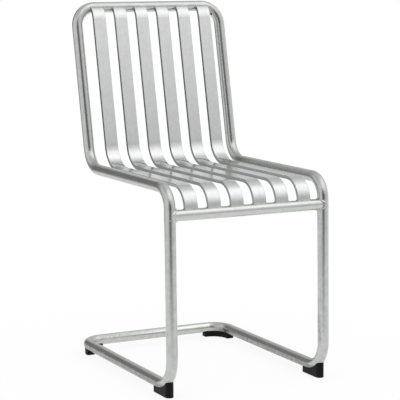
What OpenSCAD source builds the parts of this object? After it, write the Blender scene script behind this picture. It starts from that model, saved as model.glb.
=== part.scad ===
// Cantilever garden chair: a bent tube frame with six bent flat bars as seat and back.
// Millimetres. +Z is up, the sitter faces -Y, and +X is the sitter's left.
// The origin is on the floor, in the middle of the chair's outline seen from above.

/* [Tube frame] */
// Outer diameter of every tube
tube_od = 25; // [20:0.5:32]
// Wall thickness of every tube
tube_wall = 2; // [1:0.1:3]
// Distance between the centre lines of the left and right side of the frame
side_spacing = 376; // [360:1:520]
// Base rail, from the leg's centre line at the foot to the rear bar's centre line
base_length = 502; // [440:1:600]
// Leg, from the base rail's centre line to the seat rail's centre line
leg_length = 432; // [380:1:480]
// Lean of the legs towards the rear, in degrees
leg_lean = 0.9; // [0:0.1:6]
// Seat rail, from the leg's centre line to the upright's centre line
seat_depth = 429; // [380:1:480]
// Fall of the seat towards the rear, in degrees
seat_fall = 0.1; // [0:0.1:5]
// Upright, from the seat rail's centre line to the top rail's centre line
back_length = 380.5; // [320:0.5:460]
// Lean of the back towards the rear, in degrees
back_recline = 12.1; // [5:0.1:25]

/* [Tube bends, to the centre line] */
// Bend at the foot, between base rail and leg
foot_bend = 61; // [45:1:90]
// Bend between leg and seat rail
front_bend = 46; // [38:1:52]
// Bend between seat rail and upright
seat_bend = 56; // [45:1:90]
// Bend between upright and top rail
top_bend = 45.5; // [38:0.5:60]
// Bend between base rail and rear bar
rear_bend = 45.5; // [38:0.5:70]

// How much each face of the wall draws in where the tube is bent
bend_thinning = 0.15; // [0.1:0.05:0.3]
// How far the thinned wall of a bend runs on inside the wall of the straight tube next to it
bend_run_in = 0.5; // [0.2:0.1:1.5]

/* [Joints in the frame] */
// Cross tube between the legs, its axis below the seat rail's centre line
cross_drop = 58; // [56:0.5:75]
// Seam where the upper tube stands on the base tube, below the seat rail's centre line
seam_drop = 66; // [62:0.5:110]
// Length of the sleeve that sits inside each leg across the seam
sleeve_length = 34; // [20:1:36]
// Wall thickness of the sleeve
sleeve_wall = 2; // [1:0.1:3]
// Gap between the sleeve and the tube around it
sleeve_gap = 0.1; // [0.05:0.05:0.4]

/* [Seat and back bars] */
// Width of each bar
bar_width = 31; // [24:0.5:36]
// Thickness of each bar
bar_thickness = 8; // [5:0.5:10]
// Radius of the bar's four long edges
bar_edge = 1; // [0.5:0.25:2.25]
// Distance from the middle of one bar to the next
bar_pitch = 55.4; // [44:0.1:56]
// Middle of the bar in front of the upright's centre line
bar_forward = 18.4; // [15.5:0.1:22]
// Bend of the bar over the front edge of the seat, to the bar's middle
bar_front_bend = 49; // [38:1:52]
// Bend of the bar between seat and back, to the bar's middle
bar_seat_bend = 61.5; // [45:0.5:90]
// Curl of the bar back to the top rail, to the bar's middle
bar_curl = 42; // [34:1:60]
// How far below the top rail's foremost line the bar's face meets it, in degrees
bar_meets_rail = 8; // [2:1:20]

/* [Glides] */
// Width of each glide
glide_width = 19; // [14:0.5:24]
// Glide under the lowest line of the tube
glide_depth = 10; // [6:0.5:14]
// Nose of the front glide behind the leg's centre line at the foot
front_glide_nose = 7; // [5:0.5:14]
// Length of the front glide
front_glide_length = 71; // [60:1:110]
// How far the rear glide runs on under the base rail, past the corner bend
rear_glide_along = 6; // [5:0.5:20]
// How far the rear glide runs on under the rear bar, past the corner bend
rear_glide_across = 3; // [3:0.5:20]
// Radius of the glide's corners seen from above
glide_corner = 2.5; // [1:0.5:2.5]

/* [Glide screws] */
// Shank diameter
screw_d = 4; // [3:0.1:5]
// Head diameter
screw_head_d = 8; // [7:0.1:9]
// Head height
screw_head_h = 2.6; // [1.5:0.1:3]
// Head above the floor
screw_recess = 1.6; // [1:0.1:2.5]
// Shank past the inside of the tube wall
screw_reach = 4; // [2:0.5:8]
// Gap around head and shank
screw_gap = 0.2; // [0.1:0.05:0.4]
// Front glide's screw, ahead of the glide's rear end
front_screw_inset = 12; // [8:0.5:16]

/* [Welds and vent holes] */
// Weld that stands out around each bar's ends
bar_weld = 1.5; // [0.8:0.1:2.5]
// Weld that stands out around the cross tube's ends
cross_weld = 2.5; // [1.5:0.1:4]
// Weld that stands out on the legs around the cross tube's ends
cross_weld_leg = 2; // [1:0.1:4]
// Width of the bead around the leg seam
seam_width = 3; // [2:0.1:4]
// Bead that stands out around the leg seam
seam_proud = 0.6; // [0.3:0.1:1]
// Vent holes that let zinc run through the tubes
vent_d = 6; // [4:0.5:8]
// Top corner's vent hole, turned from the inside of the bend towards the front, in degrees
vent_turn = 18; // [0:1:60]
// Vent hole in the rear bar, from the end of the corner bend
vent_inset = 4; // [4:0.5:20]
// Slope of the rear bar's vent hole, below level, in degrees
vent_slope = 70; // [0:1:80]

/* [Hidden] */
$fn = 64;

zinc = [0.72, 0.73, 0.72];
bead_zinc = [0.62, 0.63, 0.62];
dull_zinc = [0.5, 0.51, 0.5];
black = [0.07, 0.07, 0.07];
bar_count = 6;
// Length by which a cutting solid runs past the face that it opens
past = 1;

tube_r = tube_od / 2;
bore_r = tube_r - tube_wall;
side_x = side_spacing / 2;
base_z = glide_depth + tube_r;

// Turns of the side, and the straight length that each bend takes from its two neighbours
foot_turn = 90 + leg_lean;
front_turn = 90 + seat_fall - leg_lean;
seat_turn = 90 + seat_fall - back_recline;
foot_tangent = foot_bend * tan(foot_turn / 2);
front_tangent = front_bend * tan(front_turn / 2);
seat_tangent = seat_bend * tan(seat_turn / 2);

// Corners of the side, as [distance behind the foot's corner, height above the base rail]
leg_top = leg_length * [sin(leg_lean), cos(leg_lean)];
seat_rear = leg_top + seat_depth * [cos(seat_fall), -sin(seat_fall)];
back_top = seat_rear + back_length * [sin(back_recline), cos(back_recline)];
foremost = foot_tangent - foot_bend - tube_r;
rearmost = max(base_length, back_top[0]) + tube_r;
foot_y = -(foremost + rearmost) / 2;

// Runs and bends of one side, each [run, roll before the bend, bend radius, turn]
seam_height = leg_length - seam_drop;
upper_side = [[seam_drop - front_tangent, 0, front_bend, front_turn],
              [seat_depth - front_tangent - seat_tangent, 0, seat_bend, -seat_turn],
              [back_length - seat_tangent - top_bend, 90, top_bend, 90]];
base_side = [[seam_height - foot_tangent, 0, foot_bend, -foot_turn],
             [base_length - foot_tangent - rear_bend, 90, rear_bend, 90]];

// Run of one bar's middle line, from the cross tube's axis up to the top rail
bar_shift = bar_forward / sin(seat_turn);
bar_front_tangent = bar_front_bend * tan(front_turn / 2);
bar_seat_tangent = bar_seat_bend * tan(seat_turn / 2);
face_curl = bar_curl + bar_thickness / 2;
curl_turn = acos((tube_r * cos(bar_meets_rail) + bar_curl - bar_forward) / face_curl);
curl_start = back_length - tube_r * sin(bar_meets_rail) - face_curl * sin(curl_turn);
// Degrees by which the curl runs on into the top rail, where the rail's own round then cuts it
curl_past = 4;
bar_path = [[cross_drop - bar_front_tangent, 0, bar_front_bend, front_turn],
            [seat_depth - bar_shift - bar_front_tangent - bar_seat_tangent, 0, bar_seat_bend, -seat_turn],
            [curl_start + bar_shift * cos(seat_turn) - bar_seat_tangent, 0, bar_curl, curl_turn + curl_past]];

front_glide_end = front_glide_nose + front_glide_length;
nose_r = glide_width / 2;
screw_seat_z = screw_recess + screw_head_h;
screw_top_z = glide_depth + tube_wall + screw_reach;

// Placing: a point at a height up the leg, along the base, or up the back
module on_leg(height) {
    translate([0, foot_y + height * sin(leg_lean), base_z + height * cos(leg_lean)])
        rotate([-leg_lean, 0, 0]) children();
}

module on_base(behind) {
    translate([0, foot_y + behind, base_z]) children();
}

module on_back(height) {
    translate([0, foot_y + seat_rear[0] + height * sin(back_recline),
               base_z + seat_rear[1] + height * cos(back_recline)])
        rotate([-back_recline, 0, 0]) children();
}

module both_sides() {
    children();
    mirror([1, 0, 0]) children();
}

module along_x(radius, length) {
    rotate([0, 90, 0]) cylinder(r = radius, h = length, center = true);
}

// The straight tube between two corner bends
module tube_across(corner_bend) {
    rotate([0, 90, 0]) linear_extrude(side_spacing - 2 * corner_bend, center = true) tube_section(0);
}

// A bend that starts upwards at the origin and leans to +Y, or to -Y for a negative turn: the
// stretch of a full ring between the plane where it starts and the plane where it ends, each of
// them moved out by what the bend runs on
module bend(radius, turn, run_on = 0) {
    reach = radius + tube_od;
    block = [2 * reach, 2 * reach, reach + run_on];
    translate([0, sign(turn) * radius, 0]) intersection() {
        rotate([0, 90, 0]) rotate_extrude() translate([radius, 0]) rotate(90) children();
        translate([-reach, -reach, -run_on]) cube(block);
        rotate([-turn, 0, 0]) translate([-reach, -reach, -reach]) cube(block);
    }
}

// The frame at a bend's end, reached by turning about the bend's own centre
module past_bend(radius, turn) {
    translate([0, sign(turn) * radius, 0]) rotate([-turn, 0, 0])
        translate([0, -sign(turn) * radius, 0]) children();
}

// A section carried along runs and bends, upwards from the origin. A second child, if there is
// one, is the thinner section in the bends, and they run on into their neighbours by run_on.
module follow(steps, run_on = 0, first = 0) {
    step = steps[first];
    last_child = $children - 1;
    linear_extrude(step[0]) children(0);
    if (len(step) > 1) translate([0, 0, step[0]]) rotate([0, 0, step[1]]) {
        bend(step[2], step[3], run_on) children(last_child);
        if (first < len(steps) - 1) past_bend(step[2], step[3]) follow(steps, run_on, first + 1) {
            children(0);
            children(last_child);
        }
    }
}

// The wall is thinned a little where the tube is bent, inside and outside alike
module tube_along(steps) {
    follow(steps, bend_run_in) {
        tube_section(0);
        tube_section(bend_thinning);
    }
}

module tube_section(thinned) {
    difference() {
        circle(tube_r - thinned);
        circle(bore_r + thinned);
    }
}

// Where the upper and the lower tube of the right-hand side start, on the leg's seam
module at_right_seam() {
    translate([side_x, 0, 0]) on_leg(seam_height) children();
}

module below_right_seam() {
    at_right_seam() rotate([180, 0, 0]) children();
}

module upper_frame_tube() {
    color(zinc) difference() {
        union() {
            both_sides() at_right_seam() tube_along(upper_side);
            on_back(back_length) tube_across(top_bend);
        }
        both_sides() top_vent();
    }
}

module base_frame_tube() {
    color(zinc) difference() {
        union() {
            both_sides() below_right_seam() tube_along(base_side);
            on_base(base_length) tube_across(rear_bend);
        }
        both_sides() rear_vent();
        glide_screw_places() cylinder(d = screw_d + 2 * screw_gap, h = base_z);
    }
}

// Vent hole through the inner wall of the top corner, halfway round the bend
module top_vent() {
    on_back(back_length - top_bend) translate([side_x - top_bend, 0, 0]) rotate([0, 45, 0])
        translate([0, 0, top_bend]) rotate([-vent_turn, 0, 0]) translate([0, 0, -tube_r - past])
            cylinder(d = vent_d, h = tube_wall + 2 * past);
}

// Vent hole low on the front of the rear bar, beside the corner bend
module rear_vent() {
    on_base(base_length) translate([side_x - rear_bend - vent_inset, 0, 0]) rotate([90 + vent_slope, 0, 0])
        translate([0, 0, bore_r - past]) cylinder(d = vent_d, h = tube_wall + 2 * past);
}

module cross_tube_rod(radius, length) {
    on_leg(leg_length - cross_drop) along_x(radius, length);
}

// The legs around the cross tube, as solid rods: the run and bend above the seam, the run below it
module leg_rods(radius) {
    both_sides() {
        at_right_seam() follow([upper_side[0]]) circle(radius);
        below_right_seam() cylinder(r = radius, h = 2 * tube_od);
    }
}

module cross_tube() {
    color(zinc) difference() {
        cross_tube_rod(tube_r, side_spacing - 2 * tube_wall);
        cross_tube_rod(bore_r, side_spacing);
        leg_rods(tube_r);
    }
}

module leg_sleeve() {
    color(dull_zinc) translate([side_x, 0, 0]) on_leg(seam_height) difference() {
        cylinder(r = bore_r - sleeve_gap, h = sleeve_length, center = true);
        cylinder(r = bore_r - sleeve_gap - sleeve_wall, h = sleeve_length + 2 * past, center = true);
    }
}

module right_leg_sleeve() { leg_sleeve(); }
module left_leg_sleeve() { mirror([1, 0, 0]) leg_sleeve(); }

module bar_section(grow = 0) {
    width = bar_width + 2 * grow;
    thickness = bar_thickness + 2 * grow;
    square([width - 2 * bar_edge, thickness], center = true);
    square([width, thickness - 2 * bar_edge], center = true);
    for (x = [-1, 1], y = [-1, 1])
        translate([x * (width / 2 - bar_edge), y * (thickness / 2 - bar_edge)]) circle(bar_edge);
}

function bar_x(number) = (number - (bar_count + 1) / 2) * bar_pitch;

module bar_blank(number) {
    translate([bar_x(number), 0, 0]) on_leg(leg_length - cross_drop) follow(bar_path) bar_section();
}

// The two ends of a bar by themselves: the upright start and the curl
module bar_start(number, grow = 0) {
    translate([bar_x(number), 0, 0]) on_leg(leg_length - cross_drop) follow([bar_path[0]]) bar_section(grow);
}

module bar_end(number, grow = 0) {
    on_back(curl_start) translate([bar_x(number), -bar_forward, 0])
        bend(bar_curl, curl_turn + curl_past) bar_section(grow);
}

// The top rail with its corner bends, as a solid rod
module top_rail_rod(radius) {
    on_back(back_length) along_x(radius, side_spacing - 2 * top_bend);
    both_sides() on_back(back_length - top_bend) translate([side_x, 0, 0])
        rotate([0, 0, 90]) bend(top_bend, 90) circle(radius);
}

module bar(number) {
    color(zinc) difference() {
        bar_blank(number);
        top_rail_rod(tube_r);
        cross_tube_rod(tube_r, side_spacing);
    }
}

// The front glide seen from above: a round nose, and rounded corners at the rear
module front_glide_outline() {
    translate([0, front_glide_nose + nose_r]) circle(nose_r);
    translate([-nose_r, front_glide_nose + nose_r])
        square([glide_width, front_glide_length - nose_r - glide_corner]);
    translate([-nose_r + glide_corner, front_glide_end - 2 * glide_corner])
        square([glide_width - 2 * glide_corner, 2 * glide_corner]);
    for (x = [-1, 1])
        translate([x * (nose_r - glide_corner), front_glide_end - glide_corner]) circle(glide_corner);
}

module front_glide() {
    color(black) difference() {
        translate([side_x, foot_y, 0]) linear_extrude(base_z + foot_bend / 2) front_glide_outline();
        translate([side_x, foot_y, 0]) foot_cutter();
        below_right_seam() follow([base_side[0]]) circle(tube_r);
        translate([side_x, foot_y + foot_tangent, base_z]) rotate([-90, 0, 0])
            cylinder(r = tube_r, h = front_glide_length);
        front_screw_place() screw_hole();
    }
}

// All that lies inside the foot bend and above the base rail's centre line
module foot_cutter() {
    translate([0, foot_tangent, base_z + foot_bend]) along_x(foot_bend, tube_od);
    translate([-tube_r, foot_tangent, base_z]) cube([tube_od, front_glide_end, foot_bend]);
}

// The rear glide seen from above, in the corner bend's own place
module rear_glide_outline() {
    intersection() {
        difference() {
            circle(rear_bend + nose_r);
            circle(rear_bend - nose_r);
        }
        square(rear_bend + glide_width);
    }
    rear_glide_end(rear_glide_along);
    mirror([1, -1]) rear_glide_end(rear_glide_across);
}

// A straight end of the rear glide, with rounded corners
module rear_glide_end(length) {
    translate([rear_bend - nose_r, -length]) {
        translate([0, glide_corner]) square([glide_width, length - glide_corner]);
        translate([glide_corner, 0]) square([glide_width - 2 * glide_corner, glide_corner]);
        for (x = [glide_corner, glide_width - glide_corner])
            translate([x, glide_corner]) circle(glide_corner);
    }
}

module rear_glide() {
    color(black) difference() {
        translate([side_x - rear_bend, foot_y + base_length - rear_bend, 0])
            linear_extrude(base_z - tube_r / 2) rear_glide_outline();
        rear_corner_rod();
        rear_screw_place() screw_hole();
    }
}

// The corner bend with a stretch of rail and rear bar, as a solid rod
module rear_corner_rod() {
    stretch = rear_glide_along + rear_glide_across;
    translate([side_x, foot_y + base_length - rear_bend - stretch, base_z]) rotate([-90, 0, 0])
        follow([[stretch, 90, rear_bend, 90], [stretch]]) circle(tube_r);
}

module front_right_glide() { front_glide(); }
module front_left_glide() { mirror([1, 0, 0]) front_glide(); }
module rear_right_glide() { rear_glide(); }
module rear_left_glide() { mirror([1, 0, 0]) rear_glide(); }

module front_screw_place() {
    translate([side_x, foot_y + front_glide_end - front_screw_inset, 0]) children();
}

// Halfway round the corner bend
module rear_screw_place() {
    translate([side_x - rear_bend, foot_y + base_length - rear_bend, 0]) rotate([0, 0, 45])
        translate([rear_bend, 0, 0]) children();
}

module glide_screw_places() {
    both_sides() {
        front_screw_place() children();
        rear_screw_place() children();
    }
}

module screw_hole() {
    translate([0, 0, -past]) cylinder(d = screw_head_d + 2 * screw_gap, h = screw_seat_z + past);
    cylinder(d = screw_d + 2 * screw_gap, h = screw_top_z);
}

module screw() {
    translate([0, 0, screw_recess]) cylinder(d = screw_head_d, h = screw_head_h);
    translate([0, 0, screw_recess]) cylinder(d = screw_d, h = screw_top_z - screw_recess);
}

module front_glide_screws() { color(dull_zinc) both_sides() front_screw_place() screw(); }
module rear_glide_screws() { color(dull_zinc) both_sides() rear_screw_place() screw(); }

module leg_seam_welds() {
    color(bead_zinc) difference() {
        both_sides() at_right_seam() cylinder(r = tube_r + seam_proud, h = seam_width, center = true);
        leg_rods(tube_r);
        cross_tube_rod(tube_r + cross_weld, side_spacing);
    }
}

// The weld runs round the cross tube's coped end, out to a ball about the joint
module cross_tube_weld() {
    difference() {
        intersection() {
            at_cross_joint() along_x(tube_r + cross_weld, 3 * tube_od);
            at_cross_joint() cylinder(r = tube_r + cross_weld_leg, h = 3 * tube_od, center = true);
            at_cross_joint() translate([-tube_r, 0, 0]) sphere(1.5 * tube_r);
        }
        at_cross_joint() cylinder(r = tube_r, h = 4 * tube_od, center = true);
        at_cross_joint() along_x(tube_r, 4 * tube_od);
    }
}

module cross_tube_welds() { color(bead_zinc) both_sides() cross_tube_weld(); }

module at_cross_joint() {
    translate([side_x, 0, 0]) on_leg(leg_length - cross_drop) children();
}

module bar_top_welds() {
    color(bead_zinc) for (number = [1:bar_count]) difference() {
        intersection() {
            bar_end(number, bar_weld);
            top_rail_rod(tube_r + bar_weld);
        }
        bar_end(number);
        top_rail_rod(tube_r);
    }
}

module bar_front_welds() {
    color(bead_zinc) for (number = [1:bar_count]) difference() {
        intersection() {
            bar_start(number, bar_weld);
            cross_tube_rod(tube_r + bar_weld, side_spacing);
        }
        bar_start(number);
        cross_tube_rod(tube_r, side_spacing);
    }
}

upper_frame_tube();
base_frame_tube();
cross_tube();
left_leg_sleeve();
right_leg_sleeve();
bar(1);  // bar_1
bar(2);  // bar_2
bar(3);  // bar_3
bar(4);  // bar_4
bar(5);  // bar_5
bar(6);  // bar_6
front_left_glide();
front_right_glide();
rear_left_glide();
rear_right_glide();
front_glide_screws();
rear_glide_screws();
leg_seam_welds();
cross_tube_welds();
bar_top_welds();
bar_front_welds();
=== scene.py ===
import math

import bpy
from mathutils import Matrix, Vector

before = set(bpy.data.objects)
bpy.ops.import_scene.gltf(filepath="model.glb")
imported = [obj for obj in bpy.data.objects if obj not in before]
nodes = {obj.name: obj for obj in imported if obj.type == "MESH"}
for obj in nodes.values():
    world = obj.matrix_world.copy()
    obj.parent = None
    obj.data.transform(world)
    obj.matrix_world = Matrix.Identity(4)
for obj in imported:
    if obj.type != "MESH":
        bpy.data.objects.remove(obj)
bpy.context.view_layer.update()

# Heights on the chair in metres, and how far above and below the rails' middle their finish fades out
base_rail_height = 0.0225
seat_rail_height = 0.454
rails_fade = (0.02, 0.04)
# Where the painted shade under the base rails and the painted highlight on top of the rear bar lie
lower_half_of_rail = (base_rail_height, base_rail_height + 0.007)
top_of_rear_bar = (base_rail_height + 0.0035, base_rail_height + 0.0065)
end_of_base = (0.05, 0.1)

# How far from the chair's middle plane its sides begin
sides_start = (0.15, 0.17)

# A zinc finish from dark to light: place on the scale of its shade, and share of its grey there
zinc_tones = ((0.0, 0.4), (0.25, 0.82), (1.0, 1.34))
green_cast = (0.98, 1.0, 0.965)
cool_cast = (0.985, 1.0, 0.995)

# Painted light and shade on the bars by height in metres, where plain_bar is the value that leaves the zinc
# as it is
plain_bar = 0.3
painted_light_by_height = (
    (0.425, 0.27),  # front end
    (0.445, 0.43), (0.47, 0.43),  # seat
    (0.50, 0.29),  # bend between seat and back
    (0.516, 0.44), (0.66, 0.60), (0.80, 0.68),  # back
    (0.812, 0.53), (0.826, 0.1),  # painted shade at the top rail, where the bars curl into it
)

# The surroundings that metal mirrors: their brightness, and soft ovals that are darker or brighter.
# An oval has the share of light it takes away, or the light it adds, then in degrees its azimuth,
# elevation, half width and half height, and last the softness of its edge. Azimuth 0 is -Y, where
# the sitter faces, and 90 is +X.
mirrored_light = 0.95
dark_ovals = (
    (0.84, -17, 6, 26, 29, 0.45),  # the camera's side
    (0.24, 28, 4, 28, 15, 0.5),  # low, right of the camera
    (0.78, -160, 14, 25, 29, 0.5),  # end of the room behind the chair, on the left
    (0.27, 160, 26, 34, 38, 0.5),  # the same on the right
    (0.25, -120, 66, 70, 24, 0.4),  # ceiling behind on the left
    (0.08, 125, 62, 42, 26, 0.4),  # ceiling behind on the right
)
bright_ovals = (
    (0.6, 42, 53, 50, 21, 0.75),  # softbox high in front on the right
    (0.06, 42, 67, 55, 14, 0.3),  # its upper edge
)


# Nodes

def add(tree, kind, **settings):
    """A shader node with its settings; what isn't one of its properties is a socket's value."""
    node = tree.nodes.new(kind)
    for name, value in settings.items():
        if hasattr(node, name):
            setattr(node, name, value)
        else:
            node.inputs[name.replace("_", " ")].default_value = value
    return node


def join(tree, source, target):
    tree.links.new(source, target)


def new_finish(name):
    finish = bpy.data.materials.new(name)
    finish.use_nodes = True
    tree = finish.node_tree
    return finish, tree, tree.nodes["Principled BSDF"]


def object_noise(tree, place, stretch, **settings):
    """Noise on the object's own coordinates, stretched along the axes."""
    mapping = add(tree, "ShaderNodeMapping")
    mapping.inputs["Scale"].default_value = stretch
    join(tree, place, mapping.inputs["Vector"])
    noise = add(tree, "ShaderNodeTexNoise", **settings)
    join(tree, mapping.outputs[0], noise.inputs["Vector"])
    return noise.outputs["Fac"]


def coordinate(tree, place, axis):
    """One coordinate of a place or a direction."""
    parts = add(tree, "ShaderNodeSeparateXYZ")
    join(tree, place, parts.inputs[0])
    return parts.outputs[axis]


def ranged(tree, value, low, high, start=0.3, end=0.7, curve="LINEAR"):
    """A range of a value, by default a noise's middle, spread between two values."""
    spread = add(tree, "ShaderNodeMapRange", interpolation_type=curve)
    for name, number in (("From Min", start), ("From Max", end), ("To Min", low), ("To Max", high)):
        spread.inputs[name].default_value = number
    join(tree, value, spread.inputs["Value"])
    return spread.outputs[0]


def combined(tree, operation, first, second=0.0):
    """One or two values in a math operation, each of them a number or a socket."""
    math_node = add(tree, "ShaderNodeMath", operation=operation)
    for socket, value in zip(math_node.inputs, (first, second)):
        if isinstance(value, (int, float)):
            socket.default_value = value
        else:
            join(tree, value, socket)
    return math_node.outputs[0]


def mixed_value(tree, factor, first, second):
    """The first value where the factor is 0, the second where it is 1."""
    blend = add(tree, "ShaderNodeMix", data_type="FLOAT")
    for socket, value in ((0, factor), (2, first), (3, second)):
        join(tree, value, blend.inputs[socket])
    return blend.outputs[0]


def ramp(tree, value, stops):
    """A colour that follows a value from stop to stop, each a position and the colour there."""
    colours = add(tree, "ShaderNodeValToRGB")
    for position, _ in stops[1:-1]:
        colours.color_ramp.elements.new(position)
    for stop, (position, colour) in zip(colours.color_ramp.elements, stops):
        stop.position = position
        stop.color = (*colour, 1)
    join(tree, value, colours.inputs[0])
    return colours.outputs[0]


def by_height(tree, place, stops):
    """A value that follows height from stop to stop, each a height in metres and the value there."""
    return ramp(tree, coordinate(tree, place, "Z"), [(height, [value] * 3) for height, value in stops])


# Where on the chair

def in_rails(tree, place):
    """1 at the height of base rail and seat rail, 0 elsewhere."""
    height = coordinate(tree, place, "Z")
    from_base, from_seat = (combined(tree, "ABSOLUTE", combined(tree, "SUBTRACT", height, middle))
                            for middle in (base_rail_height, seat_rail_height))
    return ranged(tree, combined(tree, "MINIMUM", from_base, from_seat), 1.0, 0.0, *rails_fade)


def at_sides(tree, place):
    """1 in legs, rails and uprights, 0 in the top rail and the rear bar."""
    sideways = combined(tree, "ABSOLUTE", coordinate(tree, place, "X"))
    return ranged(tree, sideways, 0.0, 1.0, *sides_start)


# Lines that rolling and drawing leave in the steel

def lines_on_bars(tree, place):
    """Rolling marks that run lengthwise on a bar, over the seat and up the back."""
    return object_noise(tree, place, (420, 5, 5), Detail=4.0, Roughness=0.6)


def lines_along(tree, place, axis, fineness=240):
    """Fine lines that run along one axis: 0 is X, 1 is Y and 2 is Z."""
    stretch = [fineness] * 3
    stretch[axis] = 6
    return object_noise(tree, place, stretch, Detail=4.0, Roughness=0.6)


def lines_on_cross_tube(tree, place):
    return lines_along(tree, place, 0, fineness=260)


def lines_on_frame(tree, place):
    """Drawing marks lengthwise on the bent tubes: across at top and rear, level in rails, upright in legs."""
    across, level, upright = (lines_along(tree, place, axis) for axis in range(3))
    lengthwise = mixed_value(tree, in_rails(tree, place), upright, level)
    return mixed_value(tree, at_sides(tree, place), across, lengthwise)


# Shade and roughness that change along a piece

def no_change(tree, place):
    return 0.0


def painted_shade_on_sides(tree, place):
    """How much painted shade the narrow sides of the bars get, standing in for the dark surroundings they
    mirror. It begins behind the seat and holds up the back.
    """
    facing = add(tree, "ShaderNodeTexCoord").outputs["Normal"]
    sideways = ranged(tree, combined(tree, "ABSOLUTE", coordinate(tree, facing, "X")), 0.0, 0.8, 0.6, 0.9)
    return combined(tree, "MULTIPLY", sideways, by_height(tree, place, ((0.46, 0.0), (0.50, 1.0))))


def painted_light_on_bars(tree, place):
    """Painted light on the bars: lighter up the back, but not on their narrow sides, and painted shade at the
    top rail.
    """
    lighter = combined(tree, "SUBTRACT", by_height(tree, place, painted_light_by_height), plain_bar)
    return combined(tree, "SUBTRACT", lighter, painted_shade_on_sides(tree, place))


def rougher_on_bars(tree, place):
    """Bars are rougher where they curl to the top rail."""
    return by_height(tree, place, ((0.775, 0.0), (0.815, 0.16)))


def painted_light_on_frame(tree, place):
    """Painted shade on the lower half of the base rails, and a painted highlight along the top of the rear
    bar.
    """
    height = coordinate(tree, place, "Z")
    painted_shade_beneath = ranged(tree, height, -0.4, 0.0, *lower_half_of_rail)
    painted_highlight_on_top = ranged(tree, height, 0.0, 0.35, *top_of_rear_bar)
    in_base = ranged(tree, height, 1.0, 0.0, *end_of_base)
    return mixed_value(tree, at_sides(tree, place), combined(tree, "MULTIPLY", painted_highlight_on_top, in_base), painted_shade_beneath)


def rougher_in_rails(tree, place):
    """Rails are rubbed duller than legs and back."""
    rails = combined(tree, "MULTIPLY", in_rails(tree, place), at_sides(tree, place))
    return combined(tree, "MULTIPLY", rails, 0.1)


# Finishes

def zinc(name, grey, roughness, lines, line_depth, wave_depth, mottling, dull_spots, tint=(1.0, 1.0, 1.0),
         lighter=no_change, rougher=no_change):
    """Galvanised steel: clouds of duller zinc, faint crystals, lengthwise lines and shallow waves."""
    finish, tree, surface = new_finish(name)
    surface.inputs["Metallic"].default_value = 1.0
    place = add(tree, "ShaderNodeTexCoord").outputs["Object"]
    clouds = object_noise(tree, place, (16, 16, 16), Detail=6.0, Roughness=0.65)
    crystals = object_noise(tree, place, (260, 260, 260), Detail=2.0, Roughness=0.5)
    streaks = lines(tree, place)

    shade = ranged(tree, clouds, 0.5 - mottling, 0.5 + mottling)
    shade = combined(tree, "ADD", shade, ranged(tree, crystals, -0.05, 0.05))
    shade = combined(tree, "ADD", shade, ranged(tree, streaks, -0.11, 0.11))
    # lighter adds painted light and shade to the zinc's colour, on bars and frame tubes
    shade = combined(tree, "ADD", shade, lighter(tree, place))
    tones = [(position, [grey * share * part for part in tint]) for position, share in zinc_tones]
    join(tree, ramp(tree, shade, tones), surface.inputs["Base Color"])

    spots = object_noise(tree, place, (130, 130, 130), Detail=4.0, Roughness=0.6)
    dull = ranged(tree, clouds, roughness + 0.04, roughness - 0.03)
    dull = combined(tree, "ADD", dull, ranged(tree, spots, 0.0, dull_spots, 0.5, 0.65))
    dull = combined(tree, "ADD", dull, rougher(tree, place))
    join(tree, dull, surface.inputs["Roughness"])

    waves = object_noise(tree, place, (110, 110, 110), Detail=2.0, Roughness=0.5)
    coat = add(tree, "ShaderNodeBump", Strength=1.0, Distance=wave_depth)
    join(tree, waves, coat.inputs["Height"])
    marks = add(tree, "ShaderNodeBump", Strength=1.0, Distance=line_depth)
    join(tree, streaks, marks.inputs["Height"])
    join(tree, coat.outputs[0], marks.inputs["Normal"])
    join(tree, marks.outputs[0], surface.inputs["Normal"])
    return finish


def tube_zinc():
    """The two bent tubes of the frame."""
    return zinc("tube_zinc", grey=0.54, roughness=0.18, lines=lines_on_frame, line_depth=0.00006,
                wave_depth=0.00004, mottling=0.14, dull_spots=0.10, tint=green_cast,
                lighter=painted_light_on_frame, rougher=rougher_in_rails)


def bar_zinc():
    """The flat bars of seat and back."""
    return zinc("bar_zinc", grey=0.58, roughness=0.13, lines=lines_on_bars, line_depth=0.00009,
                wave_depth=0.00003, mottling=0.08, dull_spots=0.06, tint=cool_cast,
                lighter=painted_light_on_bars, rougher=rougher_on_bars)


def cross_zinc():
    """The cross tube."""
    return zinc("cross_zinc", grey=0.59, roughness=0.16, lines=lines_on_cross_tube, line_depth=0.00005,
                wave_depth=0.00005, mottling=0.08, dull_spots=0.1, tint=green_cast)


def bead_zinc():
    """The weld beads, rougher and wavier than tube and bar."""
    return zinc("bead_zinc", grey=0.58, roughness=0.35, lines=lines_on_bars, line_depth=0.0001,
                wave_depth=0.0002, mottling=0.2, dull_spots=0.1, tint=green_cast)


def plated_steel():
    """Sleeves and screws, which hardly show."""
    return zinc("plated_steel", grey=0.45, roughness=0.30, lines=lines_on_cross_tube, line_depth=0.00002,
                wave_depth=0.00002, mottling=0.1, dull_spots=0.1)


def moulded_black():
    """Black plastic of the glides, with a fine moulded texture and scuffs."""
    finish, tree, surface = new_finish("moulded_black")
    surface.inputs["Specular IOR Level"].default_value = 0.12
    place = add(tree, "ShaderNodeTexCoord").outputs["Object"]
    scuffs = object_noise(tree, place, (60, 60, 160), Detail=4.0, Roughness=0.7)
    tones = ((0.45, [0.004] * 3), (0.8, [0.012] * 3))
    join(tree, ramp(tree, scuffs, tones), surface.inputs["Base Color"])
    join(tree, ranged(tree, scuffs, 0.45, 0.6), surface.inputs["Roughness"])
    texture = object_noise(tree, place, (1, 1, 1), Scale=2500.0, Detail=2.0)
    bump = add(tree, "ShaderNodeBump", Strength=0.4, Distance=0.0002)
    join(tree, texture, bump.inputs["Height"])
    join(tree, bump.outputs[0], surface.inputs["Normal"])
    return finish


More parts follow.
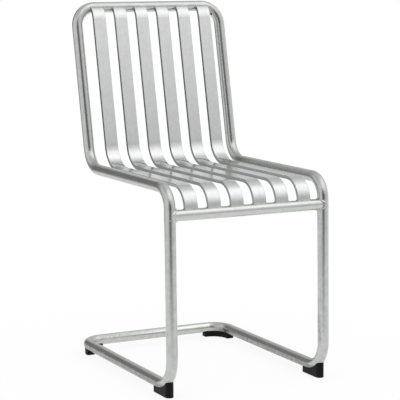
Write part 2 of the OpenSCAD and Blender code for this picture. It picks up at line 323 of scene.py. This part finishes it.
def dress():
    """Gives each piece the finish that goes with the ending of its name. The six bars match no ending."""
    bars = bar_zinc()
    steel = plated_steel()
    finish_of = {"_frame_tube": tube_zinc(), "cross_tube": cross_zinc(), "_welds": bead_zinc(),
                 "_sleeve": steel, "_screws": steel, "_glide": moulded_black()}
    for name, piece in nodes.items():
        matching = [finish_of[ending] for ending in finish_of if name.endswith(ending)]
        piece.data.materials.clear()
        piece.data.materials.append(matching[0] if matching else bars)


# Studio

def floor():
    """A white floor that keeps the chair's shadow and is plain white away from it. What metal mirrors of
    it gets darker towards the camera."""
    bpy.ops.mesh.primitive_circle_add(vertices=96, radius=2.3, fill_type="NGON", location=(0, -0.2, 0))
    disc = bpy.context.object
    disc.name = "studio_floor"
    finish, tree, surface = new_finish("floor_white")
    surface.inputs["Base Color"].default_value = (1, 1, 1, 1)
    surface.inputs["Roughness"].default_value = 1.0
    surface.inputs["Specular IOR Level"].default_value = 0.0

    rays = add(tree, "ShaderNodeLightPath").outputs
    seen = rays["Is Camera Ray"]
    for kind in ("Is Glossy Ray", "Is Transmission Ray"):
        seen = combined(tree, "MAXIMUM", seen, rays[kind])
    place = add(tree, "ShaderNodeNewGeometry").outputs["Position"]
    away = add(tree, "ShaderNodeVectorMath", operation="LENGTH")
    join(tree, place, away.inputs[0])
    plain = ranged(tree, away.outputs["Value"], 0.86, 1.0, 0.4, 1.2, "SMOOTHSTEP")
    in_front = ranged(tree, coordinate(tree, place, "Y"), 0.75, 0.0, -2.4, -0.6)
    on_left = ranged(tree, coordinate(tree, place, "X"), 1.0, 0.0, -0.2, 0.5)
    dimmed = combined(tree, "MULTIPLY", rays["Is Glossy Ray"], combined(tree, "MULTIPLY", in_front, on_left))

    shine = add(tree, "ShaderNodeEmission")
    join(tree, combined(tree, "SUBTRACT", 1.0, dimmed), shine.inputs["Strength"])
    blend = add(tree, "ShaderNodeMixShader")
    join(tree, combined(tree, "MULTIPLY", seen, plain), blend.inputs[0])
    join(tree, surface.outputs[0], blend.inputs[1])
    join(tree, shine.outputs[0], blend.inputs[2])
    join(tree, blend.outputs[0], tree.nodes["Material Output"].inputs["Surface"])
    disc.data.materials.append(finish)


def oval(tree, direction, azimuth, elevation, half_width, half_height, softness):
    """1 inside a soft oval of the surroundings, 0 outside."""
    turned = add(tree, "ShaderNodeVectorRotate", rotation_type="Z_AXIS")
    turned.inputs["Angle"].default_value = -math.radians(azimuth)
    join(tree, direction, turned.inputs["Vector"])
    aside, behind, above = (coordinate(tree, turned.outputs[0], axis) for axis in "XYZ")
    sideways = combined(tree, "ARCTAN2", aside, combined(tree, "MULTIPLY", behind, -1.0))
    across = combined(tree, "DIVIDE", sideways, math.radians(half_width))
    raised = combined(tree, "SUBTRACT", combined(tree, "ARCSINE", above), math.radians(elevation))
    upward = combined(tree, "DIVIDE", raised, math.radians(half_height))
    reach = combined(tree, "SQRT", combined(tree, "ADD", combined(tree, "MULTIPLY", across, across),
                                            combined(tree, "MULTIPLY", upward, upward)))
    return ranged(tree, reach, 1.0, 0.0, 1 - softness, 1 + softness, "SMOOTHSTEP")


def studio_light():
    """White light from all round. The dark and bright ovals show only in what a surface mirrors."""
    world = bpy.data.worlds.new("studio")
    bpy.context.scene.world = world
    world.use_nodes = True
    tree = world.node_tree
    tree.nodes.clear()
    direction = add(tree, "ShaderNodeTexCoord").outputs["Generated"]
    light = mirrored_light
    for dimming, *place in dark_ovals:
        shade = combined(tree, "MULTIPLY", oval(tree, direction, *place), -dimming)
        light = combined(tree, "MULTIPLY", light, combined(tree, "ADD", shade, 1.0))
    for brightening, *place in bright_ovals:
        glow = combined(tree, "MULTIPLY", oval(tree, direction, *place), brightening)
        light = combined(tree, "ADD", light, glow)

    white = add(tree, "ShaderNodeBackground")
    mirrored = add(tree, "ShaderNodeBackground")
    join(tree, light, mirrored.inputs["Strength"])
    mixed = add(tree, "ShaderNodeMixShader")
    join(tree, add(tree, "ShaderNodeLightPath").outputs["Is Glossy Ray"], mixed.inputs[0])
    for shader, socket in ((white, 1), (mirrored, 2)):
        shader.inputs["Color"].default_value = (1, 1, 1, 1)
        join(tree, shader.outputs[0], mixed.inputs[socket])
    join(tree, mixed.outputs[0], add(tree, "ShaderNodeOutputWorld").inputs["Surface"])


def camera():
    """The photograph's viewpoint: in front of the chair, on its left and a little higher than its back."""
    azimuth, elevation, roll = (math.radians(angle) for angle in (-26.5, 8.14, -0.303))
    aim = Vector((0, 0.00174, 0.4225))
    distance, aside, below = 3.66627, 0.009204, 0.035775
    forward = Vector((-math.sin(azimuth) * math.cos(elevation), math.cos(azimuth) * math.cos(elevation),
                      -math.sin(elevation)))
    level = forward.cross(Vector((0, 0, 1))).normalized()
    upright = level.cross(forward)
    right = level * math.cos(roll) + upright * math.sin(roll)
    up = upright * math.cos(roll) - level * math.sin(roll)
    data = bpy.data.cameras.new("photo_camera")
    data.lens = 143.05
    data.sensor_width = 36
    data.clip_end = 100
    viewer = bpy.data.objects.new("photo_camera", data)
    bpy.context.collection.objects.link(viewer)
    viewer.rotation_mode = "QUATERNION"
    viewer.rotation_quaternion = Matrix((right, up, -forward)).transposed().to_quaternion()
    viewer.location = aim + right * aside - up * below - forward * distance
    bpy.context.scene.camera = viewer


dress()
floor()
studio_light()
camera()
bpy.context.scene.view_settings.view_transform = "Standard"
